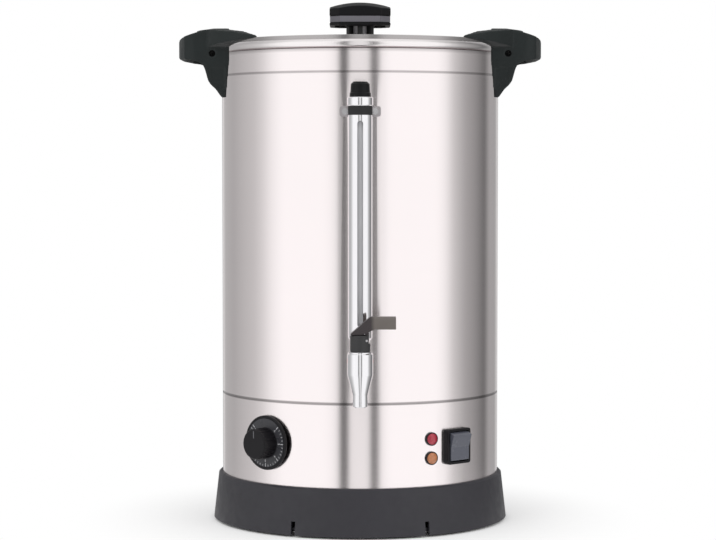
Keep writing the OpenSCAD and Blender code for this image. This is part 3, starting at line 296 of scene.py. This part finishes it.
SATIN = (0.935, 0.872, 0.875)
POLISHED = (0.90, 0.86, 0.86)
FINISHES = {
    steel: {
        # The satin steel's dark bands at the seams and under the rim are painted shade and reflection
        "satin_steel": dict(color=SATIN, rough=0.20, aniso=0.85, grain=0.025, painted_dark_bands=BODY_PAINTED_SHADE),
        "polished_steel": dict(color=POLISHED, rough=0.20, aniso=0.4, grain=0.03, turned=True),
        # The lid's steel has a painted reflection that darkens its hem
        "lid_steel": dict(
            color=POLISHED, rough=0.24, aniso=0.4, grain=0.03, turned=True, painted_dark_bands=LID_HEM_PAINTED_REFLECTION
        ),
        "aluminium": dict(color=(0.62, 0.62, 0.64), rough=0.42, grain=0.06, turned=True),
    },
    plated: {
        "chrome": dict(color=(0.88, 0.87, 0.89), rough=0.08),
        "zinc_hardware": dict(color=(0.58, 0.57, 0.58), rough=0.26),
        # The dark hardware's near black is partly its own dark colour and partly painted shade for the shadow in
        # the screw holes
        "dark_hardware": dict(color=(0.005, 0.005, 0.005), rough=0.4),
        "bracket_plating": dict(color=(0.50, 0.47, 0.48), rough=0.30),
        "element_sheath": dict(color=(0.24, 0.22, 0.22), rough=0.4),
        "bulb_copper": dict(color=(0.72, 0.38, 0.26), rough=0.28),
    },
    moulded: {
        "base_moulding": dict(color=(0.022, 0.021, 0.027), rough=0.5, grain=700.0, depth=0.05 * MM),
        "handle_moulding": dict(
            color=(0.009, 0.013, 0.013), rough=0.5, grain=650.0, depth=0.06 * MM, spec=0.3
        ),
        "black_moulding": dict(color=(0.003, 0.003, 0.004), rough=0.42, depth=0.01 * MM, spec=0.2),
        "control_moulding": dict(color=(0.005, 0.0045, 0.006), rough=0.4, depth=0.02 * MM, spec=0.25),
        "hub_moulding": dict(color=(0.030, 0.030, 0.031), rough=0.45, grain=500.0, spec=0.4),
        "lever_moulding": dict(color=(0.13, 0.115, 0.105), rough=0.4, depth=0.03 * MM, spec=0.4),
        "scale_grey": dict(color=(0.035, 0.035, 0.040), rough=0.3, depth=0.01 * MM, spec=0.4),
        "mark_white": dict(color=(0.62, 0.62, 0.64), rough=0.5, depth=0.01 * MM),
        "line_grey": dict(color=(0.10, 0.10, 0.11), rough=0.5, depth=0.01 * MM),
        "grip_rib": dict(color=(0.15, 0.147, 0.165), rough=0.4, depth=0.01 * MM, spec=0.4),
        "rocker_grey": dict(
            color=(0.085, 0.09, 0.115), rough=0.22, depth=0.01 * MM, coat=0.5, rub=1.05
        ),
        "rubber": dict(color=(0.018, 0.018, 0.019), rough=0.7, grain=500.0, depth=0.08 * MM, spec=0.3),
        "silicone": dict(color=(0.40, 0.07, 0.04), rough=0.55, grain=500.0, depth=0.05 * MM),
        "block_ivory": dict(color=(0.66, 0.61, 0.48), rough=0.45, grain=600.0),
        "cutout_tan": dict(color=(0.33, 0.19, 0.09), rough=0.35, grain=700.0, depth=0.03 * MM),
    },
    lens_glass: {
        "red_lens": dict(color=(0.42, 0.02, 0.045)),
        "amber_lens": dict(color=(0.52, 0.20, 0.08)),
    },
    clear_glass: {"gauge_glass": {}},
    spacer_moulding: {"spacer_moulding": {}},
}
mats = {name: make(name, **how) for make, group in FINISHES.items() for name, how in group.items()}

# Each node takes its record's material, apart from three with a finish of their own.
OWN_FINISH = {
    # The lid's own finish carries a painted reflection on its hem
    "lid_pan": "lid_steel",
    "knob_spacer": "spacer_moulding",
    "gauge_bracket": "bracket_plating",
}
for part in frame["record"]["subparts"]:
    for slot in nodes[part["node"]].material_slots:
        slot.link = "OBJECT"
        slot.material = mats[OWN_FINISH.get(part["node"], part["material_slot"])]


# ---------- making pieces ----------


def add_object(name, data):
    ob = bpy.data.objects.new(name, data)
    bpy.context.scene.collection.objects.link(ob)
    return ob


def new_piece(name, mesh, material, body, smooth=True):
    ob = add_object(name, mesh)
    mesh.materials.clear()
    mesh.materials.append(material)
    for face in mesh.polygons:
        face.use_smooth = smooth
    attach(ob, body)
    return ob


def mesh_of(ob):
    """The object's mesh with its modifiers applied, or its curve as a mesh. The object itself goes."""
    bpy.context.view_layer.update()
    mesh = bpy.data.meshes.new_from_object(ob.evaluated_get(bpy.context.evaluated_depsgraph_get()))
    bpy.data.objects.remove(ob)
    return mesh


def softened(node, name, voxel, rounds, body, slot_name):
    """A moulded copy of a CAD node, which takes the node's place. Its edges are rounded by a remesh at the
    voxel size and rounds of smoothing."""
    mesh = nodes[node].data.copy()
    bm = bmesh.new()
    bm.from_mesh(mesh)
    bmesh.ops.remove_doubles(bm, verts=bm.verts, dist=0.001 * MM)
    bm.to_mesh(mesh)
    bm.free()
    sharp = add_object(name + "_tmp", mesh)
    remesh = sharp.modifiers.new("remesh", "REMESH")
    remesh.mode, remesh.voxel_size = "VOXEL", voxel
    smooth = sharp.modifiers.new("smooth", "SMOOTH")
    smooth.factor, smooth.iterations = 0.5, rounds
    ob = new_piece(name, mesh_of(sharp), mats[slot_name], body)
    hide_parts(node)
    return ob


def bars_mesh(name, bars):
    """One mesh of small bevelled bars: each is (matrix, x, y, z sizes)."""
    bm = bmesh.new()
    for m, x, y, z in bars:
        made = bmesh.ops.create_cube(bm, size=1.0)["verts"]
        bmesh.ops.transform(bm, verts=made, matrix=m @ Matrix.Diagonal((x, y, z, 1)))
    bmesh.ops.bevel(bm, geom=list(bm.edges), offset=0.04 * MM, segments=1, affect="EDGES")
    mesh = bpy.data.meshes.new(name)
    bm.to_mesh(mesh)
    bm.free()
    return mesh


# ---------- moulded pieces with rounded edges ----------

# The body doesn't mirror the handles or the hardware in them.
for side in ("left", "right"):
    handle = f"handle_{side}"
    moulding = softened(handle, handle + "_moulding", 1.0 * MM, 5, "root", "handle_moulding")
    moulding.visible_glossy = False
for name in ("handle_brackets", "handle_screws", "handle_nuts", "cheek_screws"):
    nodes[name].visible_glossy = False

softened("lid_knob", "lid_knob_moulding", 0.6 * MM, 4, "lid", "black_moulding")

# The lever's neck has painted shade, which makes it darker than its blade. They meet between these distances along
# X.
NECK_PAINTED_SHADE = (0.040, 0.033, 0.035)
NECK_END, BLADE_START = 9 * MM, 12.5 * MM
lever = softened("tap_lever", "tap_lever_moulding", 0.35 * MM, 4, "lever", "lever_moulding")
lever.data.materials[0] = darker_end(mats["lever_moulding"], NECK_PAINTED_SHADE, NECK_END, BLADE_START)
hub = softened("lever_hub", "lever_collar_moulding", 0.3 * MM, 2, "collar", "control_moulding")
hub.data.materials[0] = mats["hub_moulding"]

softened("dial_knob", "dial_knob_moulding", 0.35 * MM, 2, "dial", "control_moulding")
softened("switch_housing", "switch_bezel_moulding", 0.35 * MM, 2, "root", "control_moulding")
softened("switch_rocker", "rocker_moulding", 0.3 * MM, 12, "rocker", "rocker_grey")


# ---------- the tap's return spring, as one fixed piece ------------------------

spring_mesh = nodes["tap_spring"].data.copy()
coil = new_piece("tap_spring_coil", spring_mesh, mats["zinc_hardware"], "root")
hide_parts("tap_spring")
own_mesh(coil)


# ---------- marks on the dial ----------


def hinge_frame(joint):
    """A frame on a level hinge: x across, y up and z outwards along its axis."""
    up, out = Vector((0, 0, 1)), Vector(joint["axis"]).normalized()
    turn = Matrix((up.cross(out), up, out)).transposed()
    return Matrix.Translation(joint["pos_m"]) @ turn.to_4x4()


def highest(node, frame_at):
    """The highest x, y and z of a CAD node's points in a frame."""
    into = frame_at.inverted()
    points = [into @ v.co for v in nodes[node].data.vertices]
    return Vector([max(axis) for axis in zip(*points)])


dial = hinge_frame(joints["dial_turn"])
dial_reach = highest("dial_knob", dial)
DIAL_R, GRIP_OUT = dial_reach.x, dial_reach.z
FACE_Z = highest("dial_scale", dial).z
GRIP_R = 13.7 * MM

# The scale runs anticlockwise from the upper left, with a number at every long tick.
FIRST_DEG, SWEEP_DEG = -225, 270
TICKS, TICKS_A_NUMBER = 31, 5
LONG_TICK, SHORT_TICK = (3.0 * MM, 0.5 * MM), (1.7 * MM, 0.32 * MM)  # length, width
NUMBER_H = 3.1 * MM
# From the disc's edge in to the ticks' outer ends and to the numbers' middles
TICK_IN, NUMBER_IN = 3.2 * MM, 8.4 * MM
# The pointer line's length and width, and from the grip's edge in to its middle
LINE_L, LINE_W, LINE_IN = 6.4 * MM, 0.9 * MM, 5.0 * MM
# The marks' thickness, and how far their middles stand above the surface
MARK_T, MARK_PROUD, NUMBER_PROUD = 0.1 * MM, 0.02 * MM, 0.06 * MM


def dial_angle(tick):
    return math.radians(FIRST_DEG + SWEEP_DEG * tick / (TICKS - 1))


def dial_tick(k):
    length, width = SHORT_TICK if k % TICKS_A_NUMBER else LONG_TICK
    middle = (DIAL_R - TICK_IN - length / 2, 0, FACE_Z + MARK_PROUD)
    m = dial @ Matrix.Rotation(dial_angle(k), 4, "Z") @ Matrix.Translation(middle)
    return m, length, width, MARK_T


def dial_number(i):
    """A piece for the number i on the dial's scale, with its top outwards."""
    name = f"dial_number_{i}"
    text = bpy.data.curves.new(name, "FONT")
    text.body, text.size = str(i), NUMBER_H
    text.align_x = text.align_y = "CENTER"
    text.extrude = 0.04 * MM
    text.resolution_u = 3
    mesh = mesh_of(add_object(name + "_tmp", text))
    a = dial_angle(i * TICKS_A_NUMBER)
    out = DIAL_R - NUMBER_IN
    m = dial @ Matrix.Translation((math.cos(a) * out, math.sin(a) * out, FACE_Z + NUMBER_PROUD))
    mesh.transform(m @ Matrix.Rotation(a - math.pi / 2, 4, "Z"))
    new_piece(name, mesh, mats["mark_white"], "dial", smooth=False)


ticks = bars_mesh("dial_ticks", [dial_tick(k) for k in range(TICKS)])
new_piece("dial_ticks", ticks, mats["mark_white"], "dial", smooth=False)

upwards = dial @ Matrix.Rotation(math.radians(90), 4, "Z")
line_at = upwards @ Matrix.Translation((GRIP_R - LINE_IN, 0, GRIP_OUT + MARK_PROUD))
line = bars_mesh("dial_pointer_line", [(line_at, LINE_L, LINE_W, MARK_T)])
new_piece("dial_pointer_line", line, mats["line_grey"], "dial", smooth=False)

for i in range((TICKS - 1) // TICKS_A_NUMBER + 1):
    dial_number(i)


# ---------- the knob's ribbed grip band ----------

# The CAD knob's cut corner, and the lip under its grip band, the band's height and how deep it is let in
KNOB_CORNER = 8.5 * MM
LIP_H, BAND_H, BAND_IN = 2.4 * MM, 6.4 * MM, 1.2 * MM
# The ribs stand on a backing strip. Both end a little short of the band, and stand out from its floor.
RIB_PITCH, RIB_W, RIB_OUT, RIB_SHORT = 1.5 * MM, 0.8 * MM, 0.4 * MM, 1.4 * MM
BACKING_T, BACKING_OUT, BACKING_SHORT = 0.6 * MM, 0.1 * MM, 1.0 * MM


def knob_corners(inset):
    """The corners of the knob's plan: a square with its corners cut off."""
    low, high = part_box("lid_knob")
    h = (high.x - low.x) / 2 - inset
    c = h - KNOB_CORNER
    return [(-c, -h), (c, -h), (h, -c), (h, c), (c, h), (-c, h), (-h, c), (-h, -c)]


def grip_bars():
    """A backing strip on each of the knob's eight sides, with upright ribs on it."""
    band_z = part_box("lid_knob")[0].z + LIP_H + BAND_H / 2
    corners = knob_corners(BAND_IN)
    bars = []
    for (x0, y0), (x1, y1) in zip(corners, corners[1:] + corners[:1]):
        run, turn = math.hypot(x1 - x0, y1 - y0), math.atan2(y1 - y0, x1 - x0)
        side_at = Matrix.Translation((x0, y0, band_z)) @ Matrix.Rotation(turn, 4, "Z")
        backing = side_at @ Matrix.Translation((run / 2, -BACKING_OUT, 0))
        bars.append((backing, run, BACKING_T, BAND_H - BACKING_SHORT))
        count = round(run / RIB_PITCH)
        for k in range(count):
            rib = side_at @ Matrix.Translation((run * (k + 0.5) / count, -RIB_OUT, 0))
            bars.append((rib, RIB_W, RIB_W, BAND_H - RIB_SHORT))
    return bars


ribs = bars_mesh("knob_grip_ribs", grip_bars())
new_piece("knob_grip_ribs", ribs, mats["grip_rib"], "lid", smooth=False)


# ---------- camera and lamps ----------

# Fitted to the ellipses of the body in the photograph
CAMERA_AT = (-0.00191, -2.08157, 0.33371)
CAMERA_DOWN_DEG = 2.84
LENS_MM, SENSOR_MM = 112.36, 36.0

camera = add_object("camera", bpy.data.cameras.new("camera"))
camera.location = CAMERA_AT
camera.rotation_euler = (math.radians(90 - CAMERA_DOWN_DEG), 0, 0)
camera.data.lens = LENS_MM
camera.data.sensor_width = SENSOR_MM
bpy.context.scene.camera = camera


def lamp(name, at, to, size, power):
    """A round soft lamp, which glossy surfaces don't mirror."""
    data = bpy.data.lights.new(name, "AREA")
    data.shape, data.size, data.energy = "DISK", size, power
    ob = add_object(name, data)
    ob.location = at
    ob.rotation_euler = (Vector(to) - Vector(at)).to_track_quat("-Z", "Y").to_euler()
    ob.visible_glossy = False


lamp("key", at=(-1.3, -1.6, 1.9), to=(0, 0, 0.2), size=1.2, power=14)
lamp("fill", at=(1.5, -1.5, 1.2), to=(0, 0, 0.25), size=1.4, power=8)


# ---------- world ----------

# The light and dark screens round the object, which the steel mirrors: (degrees from the front, level).
# Degrees are positive towards +X.
SCREENS = [
    (-180, 0.32), (-171, 0.36), (-163, 0.75), (-154, 0.46), (-130, 0.42), (-114, 0.50),
    (-98, 0.58), (-88, 0.72), (-77, 0.95), (-67, 1.07), (-30, 1.07), (-22, 1.0),
    (-17.8, 0.88), (-15.8, 0.09), (-10.6, 0.09), (-8.4, 0.88), (7, 0.88), (9.4, 0.13),
    (14.0, 0.17), (16.4, 0.92), (24, 1.07), (66, 1.07), (74, 0.97), (84, 0.62),
    (97, 0.40), (112, 0.28), (126, 0.14), (136, 0.38), (154, 0.36), (164, 0.70),
    (172, 0.36), (180, 0.32),
]
WHITE = (1.0, 1.0, 1.0)
CEILING = (0.88, 0.88, 0.88)
CEILING_FROM, CEILING_TO = 0.60, 0.88  # sines of the elevations where it starts and is full
ROOM = (0.80, 0.80, 0.80)


def studio_world():
    """White to the camera and through glass, the screens in gloss, and an even room for other light."""
    world = bpy.data.worlds.new("studio")
    w = empty_graph(world)
    x, y, z = w.split(w.place("Generated"))
    bearing = w.math("ARCTAN2", x, w.math("MULTIPLY", y, -1.0))
    share = w.math("ADD", w.math("DIVIDE", bearing, 2 * math.pi), 0.5)
    ring = w.ramp(share, [((degrees + 180) / 360, (level,) * 3) for degrees, level in SCREENS])
    overhead = w.spread(z, 0.0, 1.0, CEILING_FROM, CEILING_TO)
    screens = w.shader("Background", w.mix(overhead, ring, CEILING))
    rays = w.node("LightPath").outputs
    lit = w.mix_shaders(rays["Is Glossy Ray"], w.shader("Background", ROOM), screens)
    seen = w.math("MAXIMUM", rays["Is Camera Ray"], rays["Is Transmission Ray"])
    w.fed("OutputWorld", w.mix_shaders(seen, lit, w.shader("Background", WHITE)))
    return world


bpy.context.scene.world = studio_world()


# ---------- floor ----------

FLOOR_R = 0.80
FLOOR_PAINT = (0.92, 0.92, 0.92)
# Distances from the object's axis: the floor is dark inside the skirt, the shadow fades out round the
# object, and gloss stops mirroring the floor further out.
SKIRT_IN, SKIRT_OUT = 0.130, 0.142
SHADOW_IN, SHADOW_OUT, SHADOW_LEVEL = 0.135, 0.27, 0.45
MIRROR_IN, MIRROR_OUT = 0.16, 0.30


def floor_material():
    """Plain pale paint, which the camera and gloss see as white away from the object. Further out gloss
    sees the world's screens in its place."""
    mat = bpy.data.materials.new("floor")
    f = empty_graph(mat)
    rays = f.node("LightPath").outputs
    reach = f.length(f.place())
    shadow = f.spread(reach, SHADOW_LEVEL, 1.0, SHADOW_IN, SHADOW_OUT, smooth=True)
    outside = f.spread(reach, 0.0, 1.0, SKIRT_IN, SKIRT_OUT)
    seen = f.math("MAXIMUM", rays["Is Camera Ray"], rays["Is Glossy Ray"])
    white = f.math("MULTIPLY", f.math("MULTIPLY", shadow, outside), seen)
    paint = f.mix_shaders(white, f.shader("BsdfDiffuse", FLOOR_PAINT), f.shader("Emission", WHITE))
    far = f.math("MULTIPLY", f.spread(reach, 0.0, 1.0, MIRROR_IN, MIRROR_OUT), rays["Is Glossy Ray"])
    f.fed("OutputMaterial", f.mix_shaders(far, paint, f.shader("BsdfTransparent", WHITE)))
    return mat


bm = bmesh.new()
bmesh.ops.create_circle(bm, cap_ends=True, segments=96, radius=FLOOR_R)
floor_mesh = bpy.data.meshes.new("floor")
bm.to_mesh(floor_mesh)
bm.free()
floor_mesh.materials.append(floor_material())
add_object("floor", floor_mesh)

bpy.context.scene.view_settings.view_transform = "Standard"
